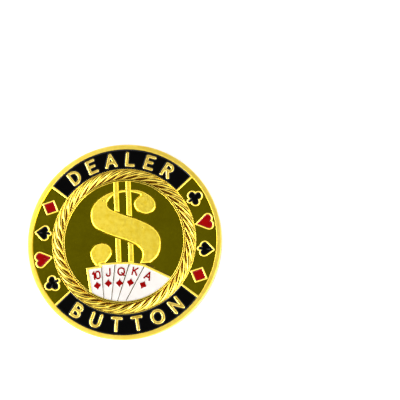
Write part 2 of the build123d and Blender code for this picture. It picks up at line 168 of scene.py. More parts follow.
def make_camera():
    data = bpy.data.cameras.new("camera")
    data.angle = math.radians(FIELD_OF_VIEW)
    data.clip_start = 0.01
    camera = bpy.data.objects.new("camera", data)
    bpy.context.scene.collection.objects.link(camera)
    forward = (Vector(CAMERA_LOOKS_AT) - Vector(CAMERA_AT)).normalized()
    level = forward.cross(Vector((0, 1, 0))).normalized()
    upright = level.cross(forward)
    turn = Matrix((level, upright, -forward)).transposed().to_4x4()
    roll = Matrix.Rotation(math.radians(CAMERA_ROLL), 4, "Z")
    camera.matrix_world = Matrix.Translation(Vector(CAMERA_AT) * MM) @ turn @ roll
    bpy.context.scene.camera = camera


# ---- signed distance functions ----

def polar(radius, angle):
    return radius * math.cos(math.radians(angle)), radius * math.sin(math.radians(angle))


def closed(points):
    """Each point with the one after it, and the last with the first."""
    return zip(points, [*points[1:], points[0]])


def segment_distance(x, y, start, end):
    dx, dy = end[0] - start[0], end[1] - start[1]
    along = ((x - start[0]) * dx + (y - start[1]) * dy) / max(dx * dx + dy * dy, 1e-12)
    along = np.clip(along, 0, 1)
    return np.hypot(x - start[0] - along * dx, y - start[1] - along * dy)


def arc_points(start, middle, end):
    """Points of the circular arc from start to end through middle."""
    count = 14
    (ax, ay), (bx, by), (cx, cy) = start, middle, end
    d = 2 * (ax * (by - cy) + bx * (cy - ay) + cx * (ay - by))
    a2, b2, c2 = ax * ax + ay * ay, bx * bx + by * by, cx * cx + cy * cy
    ux = (a2 * (by - cy) + b2 * (cy - ay) + c2 * (ay - by)) / d
    uy = (a2 * (cx - bx) + b2 * (ax - cx) + c2 * (bx - ax)) / d
    radius = math.hypot(ax - ux, ay - uy)
    first = math.atan2(ay - uy, ax - ux)
    through = (math.atan2(by - uy, bx - ux) - first) % math.tau
    sweep = (math.atan2(cy - uy, cx - ux) - first) % math.tau
    if through > sweep:
        sweep -= math.tau
    angles = [first + sweep * i / (count - 1) for i in range(count)]
    return [(ux + radius * math.cos(a), uy + radius * math.sin(a)) for a in angles]


def glyph_lines(character, height):
    """Polylines of one letter, centred on the origin."""
    width, strokes = GLYPHS[character]
    lines = []
    for points in strokes:
        line = [((x - width / 2) * height, (y - 0.5) * height) for x, y in points]
        lines.append(arc_points(*line) if len(line) == 3 else line)
    return lines


def lines_distance(lines, stroke):
    def distance(x, y):
        best = np.full(np.shape(x), 1e3)
        for line in lines:
            for start, end in zip(line, line[1:]):
                best = np.minimum(best, segment_distance(x, y, start, end))
        return best - stroke / 2
    return distance


def placed(distance, centre, turn):
    """The same shape moved to a centre and turned by an angle."""
    c, s = math.cos(math.radians(turn)), math.sin(math.radians(turn))

    def moved(x, y):
        dx, dy = x - centre[0], y - centre[1]
        return distance(dx * c + dy * s, -dx * s + dy * c)
    return moved


def union(*shapes):
    return lambda x, y: np.minimum.reduce([shape(x, y) for shape in shapes])


def common(*shapes):
    return lambda x, y: np.maximum.reduce([shape(x, y) for shape in shapes])


def outside(shape):
    return lambda x, y: -shape(x, y)


def grown(shape, amount):
    return lambda x, y: shape(x, y) - amount


def border(shape, width):
    """A band of this width round the outside of a shape."""
    return lambda x, y: np.abs(shape(x, y) - width / 2) - width / 2


def disc(radius, centre=(0, 0)):
    return lambda x, y: np.hypot(x - centre[0], y - centre[1]) - radius


def convex(points, softness=0.0):
    """A convex outline given counterclockwise, its corners rounded by the softness."""
    def distance(x, y):
        sides = []
        for (ax, ay), (bx, by) in closed(points):
            length = math.hypot(bx - ax, by - ay)
            sides.append(((x - ax) * (by - ay) - (y - ay) * (bx - ax)) / length)
        top = np.maximum.reduce(sides)
        if not softness:
            return top
        return top + softness * np.log(sum(np.exp((side - top) / softness) for side in sides))
    return distance


def belt(start, start_radius, end, end_radius):
    """Two discs and the straight belt round them."""
    def distance(x, y):
        dx, dy = end[0] - start[0], end[1] - start[1]
        length = math.hypot(dx, dy)
        along = ((x - start[0]) * dx + (y - start[1]) * dy) / length
        across = np.abs((x - start[0]) * dy - (y - start[1]) * dx) / length
        lean = (start_radius - end_radius) / length
        level = math.sqrt(1 - lean * lean)
        share = across * lean * -1 + along * level
        side = across * level + along * lean - start_radius
        from_start = np.hypot(along, across) - start_radius
        from_end = np.hypot(along - length, across) - end_radius
        return np.where(share < 0, from_start, np.where(share > level * length, from_end, side))
    return distance


def enclosed(points, x, y):
    """Whether each place lies inside a closed outline."""
    inside = np.zeros(np.shape(x), bool)
    for (ax, ay), (bx, by) in closed(points):
        if ay != by:
            crosses = (ay > y) != (by > y)
            inside ^= crosses & (x < (bx - ax) * (y - ay) / (by - ay) + ax)
    return inside


def outline_distance(points):
    """Signed distance to a closed outline of many points."""
    edge = lines_distance([[*points, points[0]]], 0.0)

    def distance(x, y):
        away = edge(x, y)
        return np.where(enclosed(points, x, y), -away, away)
    return distance


def smooth_run(points, steps=8):
    """A Catmull-Rom curve through the points, without the last one."""
    ends = [points[0]] + list(points) + [points[-1]]
    run = []
    for p0, p1, p2, p3 in zip(ends, ends[1:], ends[2:], ends[3:]):
        for i in range(steps):
            t = i / steps
            run.append(tuple(
                0.5 * (2 * b + (c - a) * t + (2 * a - 5 * b + 4 * c - d) * t * t
                       + (3 * b - a - 3 * c + d) * t ** 3)
                for a, b, c, d in zip(p0, p1, p2, p3)
            ))
    return run


def suit(name):
    """A playing-card suit about 4 mm high, its up along +y."""
    if name == "diamond":
        return convex([(0, 1.90), (-1.72, 0), (0, -1.90), (1.72, 0)], 0.05)
    if name == "heart":
        lobes = [belt((0.85 * side, 0.95), 0.95, (0, -1.90), 0.06) for side in (-1, 1)]
        return union(*lobes, disc(0.6, (0, 0.2)))
    if name == "spade":
        lobes = [belt((0.82 * side, -0.45), 0.86, (0, 1.75), 0.06) for side in (-1, 1)]
        return union(*lobes, belt((0, 0.0), 0.30, (0, -1.60), 0.34))
    leaves = [disc(0.88, centre) for centre in ((0, 0.95), (-0.92, -0.35), (0.92, -0.35))]
    return union(*leaves, belt((0, 0.2), 0.45, (0, -1.60), 0.34))


def sector(middle, half_angle, inner, outer):
    """A slice of a ring, narrower than a half turn."""
    sides = []
    for side in (-1, 1):
        nx, ny = polar(1, middle + side * (half_angle + 90))
        sides.append(lambda x, y, nx=nx, ny=ny: x * nx + y * ny)
    return common(disc(outer), outside(disc(inner)), *sides)


def word(text, radius, middle, pitch, height, stroke, reads_inward):
    """A word along an arc, its letters' tops outward unless it reads inward."""
    turn = 90.0 if reads_inward else -90.0
    step = pitch if reads_inward else -pitch
    first = middle - step * (len(text) - 1) / 2
    letters = []
    for place, character in enumerate(text):
        if character != " ":
            angle = first + step * place
            shape = lines_distance(glyph_lines(character, height), stroke)
            centre = polar(radius, angle)
            letters.append((character, placed(shape, centre, angle + turn), centre))
    return letters


# ---- outlines and raised plates ----

CELL_STEPS = {
    1: ("BL",), 2: ("RB",), 3: ("RL",), 4: ("TR",), 5: ("BL", "TR"), 6: ("TB",), 7: ("TL",),
    8: ("LT",), 9: ("BT",), 10: ("RB", "LT"), 11: ("RT",), 12: ("LR",), 13: ("BR",), 14: ("LB",),
}


def gradient(shape, x, y):
    reach = 0.01
    gx = shape(x + reach, y) - shape(x - reach, y)
    gy = shape(x, y + reach) - shape(x, y - reach)
    size = np.maximum(np.hypot(gx, gy), 1e-9)
    return gx / size, gy / size


def traced(shape, box, step, insets):
    """Closed outlines of a shape drawn in by each inset, with the inside on their left."""
    x0, y0, x1, y1 = box
    xs, ys = np.arange(x0, x1 + step, step), np.arange(y0, y1 + step, step)
    field = shape(*np.meshgrid(xs, ys))
    levels = []
    for inset in insets:
        value = field + inset
        value[np.abs(value) < 1e-9] = 1e-9
        follow = steps_between_cells(value < 0)
        loops = []
        while follow:
            key = next(iter(follow))
            loop = []
            while key in follow:
                loop.append(crossing(value, xs, ys, key, step))
                key = follow.pop(key)
            if len(loop) > 5:
                loops.append(tidied(grown(shape, -inset), np.array(loop), step))
        levels.append(loops)
    return levels


def steps_between_cells(inside):
    """Where the outline goes next from each grid edge that it crosses."""
    code = inside[:-1, :-1] * 1 + inside[:-1, 1:] * 2 + inside[1:, 1:] * 4 + inside[1:, :-1] * 8
    follow = {}
    for row, column in zip(*np.nonzero((code > 0) & (code < 15))):
        edge = {"B": (0, row, column), "T": (0, row + 1, column),
                "L": (1, row, column), "R": (1, row, column + 1)}
        for start, end in CELL_STEPS[int(code[row, column])]:
            follow[edge[start]] = edge[end]
    return follow


def crossing(value, xs, ys, edge, step):
    upright, row, column = edge
    here = value[row, column]
    there = value[row + 1, column] if upright else value[row, column + 1]
    share = here / (here - there)
    if upright:
        return xs[column], ys[row] + share * step
    return xs[column] + share * step, ys[row]


def tidied(shape, loop, step):
    """The loop drawn onto the true edge, without crowded or needless points."""
    for _ in range(2):
        gx, gy = gradient(shape, loop[:, 0], loop[:, 1])
        off = shape(loop[:, 0], loop[:, 1])
        loop = loop - np.stack([gx, gy], -1) * np.clip(off, -step, step)[:, None]
    kept = [loop[0]]
    for point in loop[1:]:
        if np.hypot(*(point - kept[-1])) > 0.45 * step:
            kept.append(point)
    slim = []
    for i, point in enumerate(kept):
        before = slim[-1] if slim else kept[-1]
        after = kept[(i + 1) % len(kept)]
        a, b = point - before, after - point
        bend = abs(a[0] * b[1] - a[1] * b[0]) / max(np.hypot(*a) * np.hypot(*b), 1e-12)
        if bend > 0.02 or np.hypot(*a) > 6 * step:
            slim.append(point)
    return np.array(slim if len(slim) > 3 else kept)


def filled(loops, outlines):
    """Points and triangles that fill the outlines and keep every loop as edges.

    The first points are the loops' own, and any more are where loops cross.
    """
    points = np.concatenate(loops)
    edges, start = [], 0
    for loop in loops:
        count = len(loop)
        edges += [(start + i, start + (i + 1) % count) for i in range(count)]
        start += count
    found = delaunay_2d_cdt([Vector(p) for p in points.tolist()], edges, [], 0, 1e-6, True)
    spots, triangles, origins = np.array([tuple(v) for v in found[0]]), found[2], found[3]
    extra, index = [], []
    for spot, origin in zip(spots, origins):
        if origin:
            index.append(origin[0])
        else:
            index.append(len(points) + len(extra))
            extra.append(spot)
    triangles = np.array(triangles)
    middle = spots[triangles].mean(axis=1)
    inside = np.zeros(len(triangles), bool)
    for loop in outlines:
        inside ^= enclosed(loop, middle[:, 0], middle[:, 1])
    faces = []
    for triangle in triangles[inside]:
        a, b, c = spots[triangle]
        turn = (b[0] - a[0]) * (c[1] - a[1]) - (b[1] - a[1]) * (c[0] - a[0])
        corners = [index[i] for i in triangle]
        if abs(turn) > 1e-9 and len(set(corners)) == 3:
            faces.append(tuple(corners if turn > 0 else corners[::-1]))
    if extra:
        points = np.concatenate([points, extra])
    return points, faces


def plate_mesh(shape, box, profile, step):
    """Vertices and faces of a closed plate, traced on a grid of this step.

    The profile is the height of its underside, then (inset, height) pairs of its top
    from the outline inward. Where the shape is too narrow, the top stays lower.
    """
    base, *curve = profile
    insets, heights = zip(*curve)
    levels = traced(shape, box, step, insets)
    outlines = levels[0]
    top, faces = filled([loop for level in levels for loop in level], outlines)
    height = np.interp(-shape(top[:, 0], top[:, 1]), insets, heights)
    vertices = [(x, y, z) for (x, y), z in zip(top, height)]
    under, under_faces = filled(outlines, outlines)
    start = len(vertices)
    vertices += [(x, y, base) for x, y in under]
    faces += [tuple(start + i for i in reversed(face)) for face in under_faces]
    first = 0
    for loop in outlines:
        count = len(loop)
        for i in range(count):
            here, after = first + i, first + (i + 1) % count
            faces.append((start + here, start + after, after, here))
        first += count
    return vertices, faces


def turned_over(vertices):
    """The same points on the reverse: half a turn about the upright axis."""
    return [(-x, y, THICKNESS - z) for x, y, z in vertices]


def new_piece(name, vertices, faces, material, node, sharp=35.0, reverse=False):
    """A mesh object in metres that rides on the one body and stands for a CAD node."""
    if reverse:
        vertices = turned_over(vertices)
    mesh = bpy.data.meshes.new(name)
    mesh.from_pydata([(x * MM, y * MM, z * MM) for x, y, z in vertices], [], faces)
    mesh.validate()
    mesh.shade_smooth()
    mesh.set_sharp_from_angle(angle=math.radians(sharp))
    mesh.materials.append(material)
    piece = bpy.data.objects.new(name, mesh)
    bpy.context.scene.collection.objects.link(piece)
    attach(piece, "root")
    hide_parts(node)


def struck(name, vertices, faces, metal, sharp=35.0, reverse=False):
    """A piece of the one struck and plated body."""
    new_piece(name, vertices, faces, metal, "struck_body", sharp, reverse)


def raised(name, shape, box, profile, metal, step, reverse=False):
    """A struck plate raised from an outline."""
    vertices, faces = plate_mesh(shape, box, profile, step)
    struck(name, vertices, faces, metal, reverse=reverse)


def poured(name, shape, box, profile, slot, node, step):
    """A fill of the enamel that its slot names."""
    vertices, faces = plate_mesh(shape, box, profile, step)
    new_piece(name, vertices, faces, ENAMELS[slot], node)


def around(centre, reach):
    return (centre[0] - reach, centre[1] - reach, centre[0] + reach, centre[1] + reach)


def lathe(profile, segments=288):
    """A closed outline of (radius, height) pairs, swept round the axis."""
    vertices, faces, rows = [], [], []
    for radius, height in profile:
        if radius < 1e-6:
            rows.append([len(vertices)] * segments)
            vertices.append((0.0, 0.0, height))
            continue
        rows.append(list(range(len(vertices), len(vertices) + segments)))
        for i in range(segments):
            x, y = polar(radius, 360 * i / segments)
            vertices.append((x, y, height))
    for low, high in closed(rows):
        for i in range(segments):
            j = (i + 1) % segments
            corners = tuple(dict.fromkeys((low[i], low[j], high[j], high[i])))
            if len(corners) > 2:
                faces.append(corners)
    return vertices, faces


def quarter_turn(across, up, radius, start, steps):
    """Points of a quarter of a circle round (across, up), from the start angle."""
    turns = [math.radians(start + 90 * i / steps) for i in range(steps + 1)]
    return [(across + radius * math.cos(a), up + radius * math.sin(a)) for a in turns]


def rounded_ring(inner, outer, base, top, round_by):
    """The section of a flat ring with rounded upper edges, for the lathe."""
    section = [(inner, base), (outer, base)]
    section += quarter_turn(outer - round_by, top - round_by, round_by, 0, 4)
    section += quarter_turn(inner + round_by, top - round_by, round_by, 90, 4)
    return section


# ---- materials ----

class Nodes:
    """Short forms for building the node tree of a material or a world."""

    def __init__(self, owner):
        owner.use_nodes = True
        self.owner = owner
        self.tree = owner.node_tree

    def put(self, socket, value):
        """Link a socket to another node's output, or set its value."""
        if isinstance(value, bpy.types.NodeSocket):
            self.tree.links.new(value, socket)
        else:
            socket.default_value = value

    def add(self, kind, inputs, **settings):
        """The outputs of a new node, whose inputs are given by name or by number."""
        node = self.tree.nodes.new(kind)
        for key, value in settings.items():
            setattr(node, key, value)
        for key, value in inputs.items():
            self.put(node.inputs[key], value)
        return node.outputs

    def coordinates(self):
        return self.add("ShaderNodeTexCoord", {})["Object"]

    def noise(self, scale, detail, roughness=0.55):
        """Noise with this many cells in each metre."""
        inputs = {"Vector": self.coordinates(), "Scale": scale, "Detail": detail,
                  "Roughness": roughness}
        return self.add("ShaderNodeTexNoise", inputs)["Fac"]

    def cells(self, scale):
        inputs = {"Vector": self.coordinates(), "Scale": scale}
        return self.add("ShaderNodeTexVoronoi", inputs)["Distance"]

    def ramp(self, source, low, high):
        """A blend of colours between two (place, colour) stops."""
        node = self.tree.nodes.new("ShaderNodeValToRGB")
        for element, (place, colour) in zip(node.color_ramp.elements, (low, high)):
            element.position = place
            element.color = (*colour, 1)
        self.put(node.inputs["Fac"], source)
        return node.outputs["Color"]

    def spread(self, source, low, high, low_out, high_out):
        """The source carried from one range over to another."""
        inputs = {"Value": source, "From Min": low, "From Max": high, "To Min": low_out,
                  "To Max": high_out}
        return self.add("ShaderNodeMapRange", inputs)["Result"]

    def math(self, operation, first, second=0.0):
        return self.add("ShaderNodeMath", {0: first, 1: second}, operation=operation)["Value"]

    def facing(self, direction, heading):
        """How far a direction looks along a heading, as a cosine."""
        inputs = {0: direction, 1: heading}
        return self.add("ShaderNodeVectorMath", inputs, operation="DOT_PRODUCT")["Value"]

    def tinted(self, colour, shade):
        inputs = {"Factor": 1.0, "A": colour, "B": shade}
        return self.add("ShaderNodeMix", inputs, data_type="RGBA", blend_type="MULTIPLY")["Result"]

    def bump(self, source, strength, distance, under=None):
        """A bumped normal, on top of the one under it."""
        inputs = {"Height": source, "Strength": strength, "Distance": distance}
        if under is not None:
            inputs["Normal"] = under
        return self.add("ShaderNodeBump", inputs)["Normal"]

    def surface(self, inputs):
        """The material, with these values and links on its shader."""
        shader = self.tree.nodes["Principled BSDF"]
        for key, value in inputs.items():
            self.put(shader.inputs[key], value)
        return self.owner


GOLD_LIGHT = (0.95, 0.72, 0.11)
GOLD_MID = (0.90, 0.63, 0.07)
GOLD_DEEP = (0.70, 0.43, 0.03)
# Painted shade: the colour the gold is darkened to low down near the field, where shade falls
PAINTED_SHADE_COLOUR = (0.16, 0.13, 0.05)
PIT_SPECK_DARK = (0.30, 0.22, 0.10)
UNTINTED = (1, 1, 1)


def gold(name, light, deep, patch_scale, roughness, grain, flank_polish, pits=0.0,
         painted_shade=PAINTED_SHADE_COLOUR, painted_shade_span=(0.25, 0.85)):
    """Gold plating, with painted shade that darkens it low down towards the field of either face,
    and polished on the flanks.
    """
    n = Nodes(bpy.data.materials.new(name))
    middle = THICKNESS / 2
    height = n.add("ShaderNodeSeparateXYZ", {0: n.coordinates()})["Z"]
    depth = n.math("ABSOLUTE", n.math("SUBTRACT", height, middle * MM))
    share = n.spread(depth, (FIELD_Z - middle) * MM, (RELIEF_Z - middle) * MM, 0.0, 1.0)
    # Painted shade: the nearer the field on either face, the darker the gold
    plating = n.ramp(n.noise(patch_scale, 5, 0.6), (0.30, deep), (0.60, light))
    shade = n.ramp(share, (painted_shade_span[0], painted_shade), (painted_shade_span[1], UNTINTED))
    colour = n.tinted(plating, shade)
    normal = n.bump(n.noise(6000, 2), grain, 0.00003)
    if pits:
        # Darker specks at the middle of each pit, where the bump dents the surface
        specks = n.cells(320)
        colour = n.tinted(colour, n.ramp(specks, (0.025, PIT_SPECK_DARK), (0.06, UNTINTED)))
        dents = n.ramp(specks, (0.02, (0, 0, 0)), (0.09, (1, 1, 1)))
        normal = n.bump(dents, pits, 0.00006, normal)
    polish = n.spread(share, 0.90, 0.99, flank_polish, 1.0)
    rough = n.math("MULTIPLY", n.spread(n.noise(2500, 3), 0.3, 0.7, *roughness), polish)
    return n.surface({"Base Color": colour, "Roughness": rough, "Normal": normal,
                      "Metallic": 1.0})


def mirror_field():
    """Mirror-polished recessed field, with a faint unevenness."""
    n = Nodes(bpy.data.materials.new("mirror_field"))
    stops = (0.25, (0.80, 0.66, 0.004)), (0.75, (0.96, 0.82, 0.006))
    return n.surface({"Base Color": n.ramp(n.noise(160, 3), *stops),
                      "Roughness": n.spread(n.noise(2200, 5), 0.3, 0.8, 0.09, 0.18),
                      "Normal": n.bump(n.noise(520, 3), 0.012, 0.00004),
                      "Metallic": 1.0})


def enamel(name, deep, light):
    """Glossy soft enamel with a slightly uneven surface."""
    n = Nodes(bpy.data.materials.new(name))
    return n.surface({"Base Color": n.ramp(n.noise(600, 3), (0.30, deep), (0.75, light)),
                      "Roughness": n.spread(n.noise(1500, 3), 0.3, 0.7, 0.07, 0.13),
                      "Normal": n.bump(n.noise(480, 2), 0.04, 0.00005),
                      "IOR": 1.45, "Specular IOR Level": 0.3,
                      "Coat Weight": 0.10, "Coat Roughness": 0.05})


# ---- blank ----

def make_blank(rim_metal, field_metal):
    """The rim with its plain edge, and the two polished fields inside it."""
    shoulder = 0.24
    inner_edge = ((RIM_INNER - 0.05, 0.50), (RIM_INNER, 0.30), (RIM_INNER + 0.05, 0.06),
                  (RIM_INNER + 0.11, 0.0), (RIM_INNER + 0.16, 0.0))
    section = list(inner_edge)
    section += quarter_turn(RADIUS - shoulder, shoulder, shoulder, -90, 6)
    section += [(RADIUS, THICKNESS * share) for share in (0.3, 0.5, 0.7)]
    section += quarter_turn(RADIUS - shoulder, THICKNESS - shoulder, shoulder, 0, 6)
    section += [(radius, THICKNESS - height) for radius, height in reversed(inner_edge)]
    struck("rim", *lathe(section), rim_metal, sharp=60)
    radii = (0, 8, 16, RIM_INNER - 0.04)
    section = [(radius, THICKNESS - FIELD_Z) for radius in radii]
    section += [(radius, FIELD_Z) for radius in reversed(radii)]
    struck("polished_fields", *lathe(section), field_metal)


def rope_mesh(outer, inner, base, crest, strands=STRANDS, sweep=25.0):
    """A twisted rope laid in a ring: strands run inward as they turn to the left.

    Across the rope, t runs from 0 at its outer side to 1 at its inner side. Along it, u
    runs from 0 to 1 over each strand, with the grooves at its ends.
    """
    columns, rows = strands * 24, 24
    pitch = 360.0 / strands
    t, a = np.meshgrid(np.linspace(0, 1, rows), np.linspace(0, 360, columns, endpoint=False))
    bend = 0.5 + np.arcsin(np.clip(2 * t - 1, -0.985, 0.985)) / math.pi
    u = ((a - sweep * bend) / pitch) % 1.0
    strand = np.clip(1 - np.abs(2 * u - 1) ** 2.4, 0, 1) ** 0.7
    envelope = np.sqrt(np.clip(1 - 0.92 * (2 * t - 1) ** 2, 0, 1))
    inner_side = np.clip((t - 0.45) / 0.4, 0, 1) * np.clip((1.02 - t) / 0.12, 0, 1)
    notch = np.clip(1 - np.minimum(u, 1 - u) / 0.40, 0, 1) * inner_side
    height = base + (crest - base) * envelope * (0.08 + 0.92 * strand) - 0.34 * notch
    height = np.maximum(height, FIELD_Z + 0.01)
    # one more row at each side takes the rope down into the field
    foot = np.full((columns, 1), UNDERSIDE)
    height = np.hstack([foot, height, foot])
    t, a = (np.hstack([grid[:, :1], grid, grid[:, -1:]]) for grid in (t, a))
    radius = outer + (inner - outer) * t
    x, y = radius * np.cos(np.radians(a)), radius * np.sin(np.radians(a))
    vertices = list(zip(x.ravel(), y.ravel(), height.ravel()))
    count = rows + 2
    faces = []
    for column in range(columns):
        here, after = column * count, (column + 1) % columns * count
        for i in range(count):
            j = (i + 1) % count
            faces.append((here + j, here + i, after + i, after + j))
    return vertices, faces


def make_rope(side, outer, inner, edge, rope_metal, ring_metal):
    """A rope with a ring along each side of it, and a thin ring further in."""
    reverse = side == "reverse"
    vertices, faces = rope_mesh(outer - 0.14, inner + 0.08, FIELD_Z + 0.04, RELIEF_Z)
    struck(f"rope_{side}", vertices, faces, rope_metal, 70, reverse)
    rings = (("outer_edge", outer - 0.20, outer), ("inner_edge", inner - 0.17, inner),
             ("thin_ring", edge - 0.06, edge + 0.11))
    for name, low, high in rings:
        vertices, faces = lathe(rounded_ring(low, high, UNDERSIDE, RELIEF_Z - 0.04, 0.08))
        struck(f"rope_{name}_{side}", vertices, faces, ring_metal, 50, reverse)


# ---- obverse ----

# The height of the underside, then (inset, height) pairs from the outline inward
LETTER_PROFILE = (UNDERSIDE, (0.0, FIELD_Z + 0.10), (0.02, RELIEF_Z - 0.09), (0.16, RELIEF_Z),
                  (0.18, RELIEF_Z))
BORDER_PROFILE = (UNDERSIDE, (0.0, FIELD_Z + 0.10), (0.03, RELIEF_Z - 0.07), (0.15, RELIEF_Z),
                  (0.17, RELIEF_Z))
SIGN_PROFILE = (UNDERSIDE, (0.0, FIELD_Z + 0.02), (0.10, RELIEF_Z - 0.18), (0.42, RELIEF_Z),
                (0.47, RELIEF_Z))
BAR_PROFILE = (UNDERSIDE, (0.0, FIELD_Z + 0.05), (0.08, RELIEF_Z - 0.05),
               (0.26, RELIEF_Z + 0.05), (0.30, RELIEF_Z + 0.05))
# The card dividers stay low, so that the painted shade of the gold darkens them into thin dark
# lines
DIVIDER_PROFILE = (UNDERSIDE, (0.0, FIELD_Z + 0.12), (0.06, FIELD_Z + 0.22))
ENAMEL_PROFILE = (UNDERSIDE, (0.0, ENAMEL_Z), (0.06, ENAMEL_Z - 0.045), (0.14, ENAMEL_Z - 0.09),
                  (0.24, ENAMEL_Z - 0.118), (0.36, ENAMEL_Z - 0.13), (0.44, ENAMEL_Z - 0.13))
MARK_PROFILE = (UNDERSIDE, (0.0, ENAMEL_Z - 0.03), (0.03, ENAMEL_Z - 0.01), (0.08, ENAMEL_Z))
GROUND_PROFILE = (UNDERSIDE, (0.0, CARD_Z), (0.06, CARD_Z))


def raise_letters(name, letters, reach, profile, metal, reverse=False):
    for place, (character, shape, centre) in enumerate(letters, 1):
        raised(f"{name}_letter_{place}_{character}", shape, around(centre, reach), profile,
               metal, 0.06, reverse)


def make_banners(metal):
    """Black enamel banners with the letters of their words standing through them."""
    half = BANNER_HALF_ANGLE - SEPARATOR_ANGLE / 2
    for side, text, middle, pitch, reads_inward, box in BANNERS:
        letters = word(text, LETTER_RADIUS, middle, pitch, LETTER_HEIGHT, LETTER_STROKE,
                       reads_inward)
        raise_letters(f"banner_{side}", letters, 2.7, LETTER_PROFILE, metal)
        fill = common(sector(middle, half, ROPE_OUTER, RIM_INNER - 0.03),
                      *[outside(shape) for _, shape, _ in letters])
        poured(f"banner_{side}_fill", fill, box, ENAMEL_PROFILE, "black_enamel",
               f"banner_{side}_enamel", 0.08)


def make_separators(side, angles, inner, metal):
    for number, angle in enumerate(angles, 1):
        shape = sector(angle, SEPARATOR_ANGLE / 2, inner - 0.1, RIM_INNER + 0.1)
        raised(f"separator_{side}_{number}", shape, around(polar(BAND_MIDDLE, angle), 3.2),
               BORDER_PROFILE, metal, 0.06, side == "reverse")


def make_suits(metal):
    """The eight bordered suits, each pointing outward."""
    for side, names in (("left", SUITS_LEFT), ("right", SUITS_RIGHT)):
        for name, angle in zip(names, SUIT_ANGLES):
            heading = angle if side == "right" else 180 - angle
            centre = polar(SUIT_RADIUS, heading)
            shape = placed(suit(name), centre, heading - 90)
            box = around(centre, 3.0)
            raised(f"{side}_{name}_border", border(shape, SUIT_BORDER), box, BORDER_PROFILE,
                   metal, 0.05)
            colour = "red_enamel" if name in ("diamond", "heart") else "black_enamel"
            poured(f"{side}_{name}_fill", shape, box, ENAMEL_PROFILE, colour,
                   f"{side}_{name}_enamel", 0.05)


def currency_outline():
    """The S and its drop, both cut off level where the cards cover them."""
    upper = smooth_run([(0.2, 13.35), (-3.2, 12.85), (-6.3, 11.2), (-8.1, 8.9), (-8.3, 5.7),
                        (-7.0, 3.5), (-3.4, 1.5), (0.6, -0.1), (3.5, -1.7), (4.6, -3.6),
                        (3.75, -6.2)])
    upper += smooth_run([(3.75, -6.2), (6.5, -6.2)], 2)
    upper += smooth_run([(6.5, -6.2), (8.6, -4.4), (9.65, -1.6), (9.3, 1.0), (7.4, 3.4),
                         (4.05, 5.3), (1.1, 6.5), (-2.1, 7.95), (-3.75, 9.3), (-3.3, 11.0),
                         (-0.9, 12.15), (2.1, 12.25), (4.7, 11.5)])
    upper += smooth_run([(4.7, 11.5), (3.2, 10.3), (2.95, 8.8), (4.1, 7.1), (6.3, 6.35),
                         (8.2, 7.35), (8.75, 9.2), (7.4, 11.3), (4.3, 13.0), (0.2, 13.35)])
    drop = smooth_run([(-7.3, -6.3), (-8.5, -4.4), (-8.8, -2.4), (-7.7, -0.7), (-6.0, -0.15),
                       (-4.3, -0.5), (-3.2, -1.8), (-3.4, -3.6), (-5.7, -6.3)])
    drop += smooth_run([(-5.7, -6.3), (-7.3, -6.3)], 2)
    return union(outline_distance(upper), outline_distance(drop))


def make_currency_sign(cards, metal):
    """The S with its drop, and two bars that pass over its top bowl and under its spine."""
    clear = common(disc(ROPE_EDGE + 0.1), outside(grown(cards, CARD_BORDER - 0.05)))
    curve = currency_outline()
    raised("currency_sign", common(curve, clear), SIGN_BOX, SIGN_PROFILE, metal, 0.08)
    top_bowl = convex([(-4, 10.5), (5, 10.5), (5, 16), (-4, 16)])
    for name, side in (("left", -1), ("right", 1)):
        left = BAR_CENTRE + side * BAR_SPACING / 2 - BAR_WIDTH / 2
        right = left + BAR_WIDTH
        bar = convex([(left, -6.4), (right, -6.4), (right, 15.6), (left, 15.6)])
        seen = common(bar, clear, union(top_bowl, outside(curve)))
        raised(f"currency_bar_{name}", seen, SIGN_BOX, BAR_PROFILE, metal, 0.06)


def card_shapes():
    """The seen part of each card of the fan, their neighbours' left edges over them."""
    shapes = []
    foot = 10.5
    for index, (_, top_left, top_right, lean, *_) in enumerate(CARDS):
        left = (top_left[0] + foot * math.tan(math.radians(lean)), top_left[1] - foot)
        if index + 1 < len(CARDS):
            corner, turn = CARDS[index + 1][1], CARDS[index + 1][3]
            right = (corner[0] + foot * math.tan(math.radians(turn)), corner[1] - foot)
        else:
            right = (top_right[0], top_right[1] - foot)
        shapes.append(convex([left, right, top_right, top_left], 0.07))
    return shapes


def card_pip():
    """A small diamond with hollow sides."""
    hollows = [outside(disc(2.2, (1.97 * sx, 2.08 * sy))) for sx in (-1, 1) for sy in (-1, 1)]
    return common(convex([(0, 1.15), (-0.98, 0), (0, -1.15), (0.98, 0)]), *hollows)


def card_index(text):
    """The letter or the two figures of a card's corner index, centred on the origin."""
    lines = []
    for place, character in enumerate(text):
        shift = 0.62 * INDEX_HEIGHT * (place - (len(text) - 1) / 2)
        for line in glyph_lines(character, INDEX_HEIGHT):
            lines.append([(x + shift, y) for x, y in line])
    return lines_distance(lines, INDEX_STROKE)


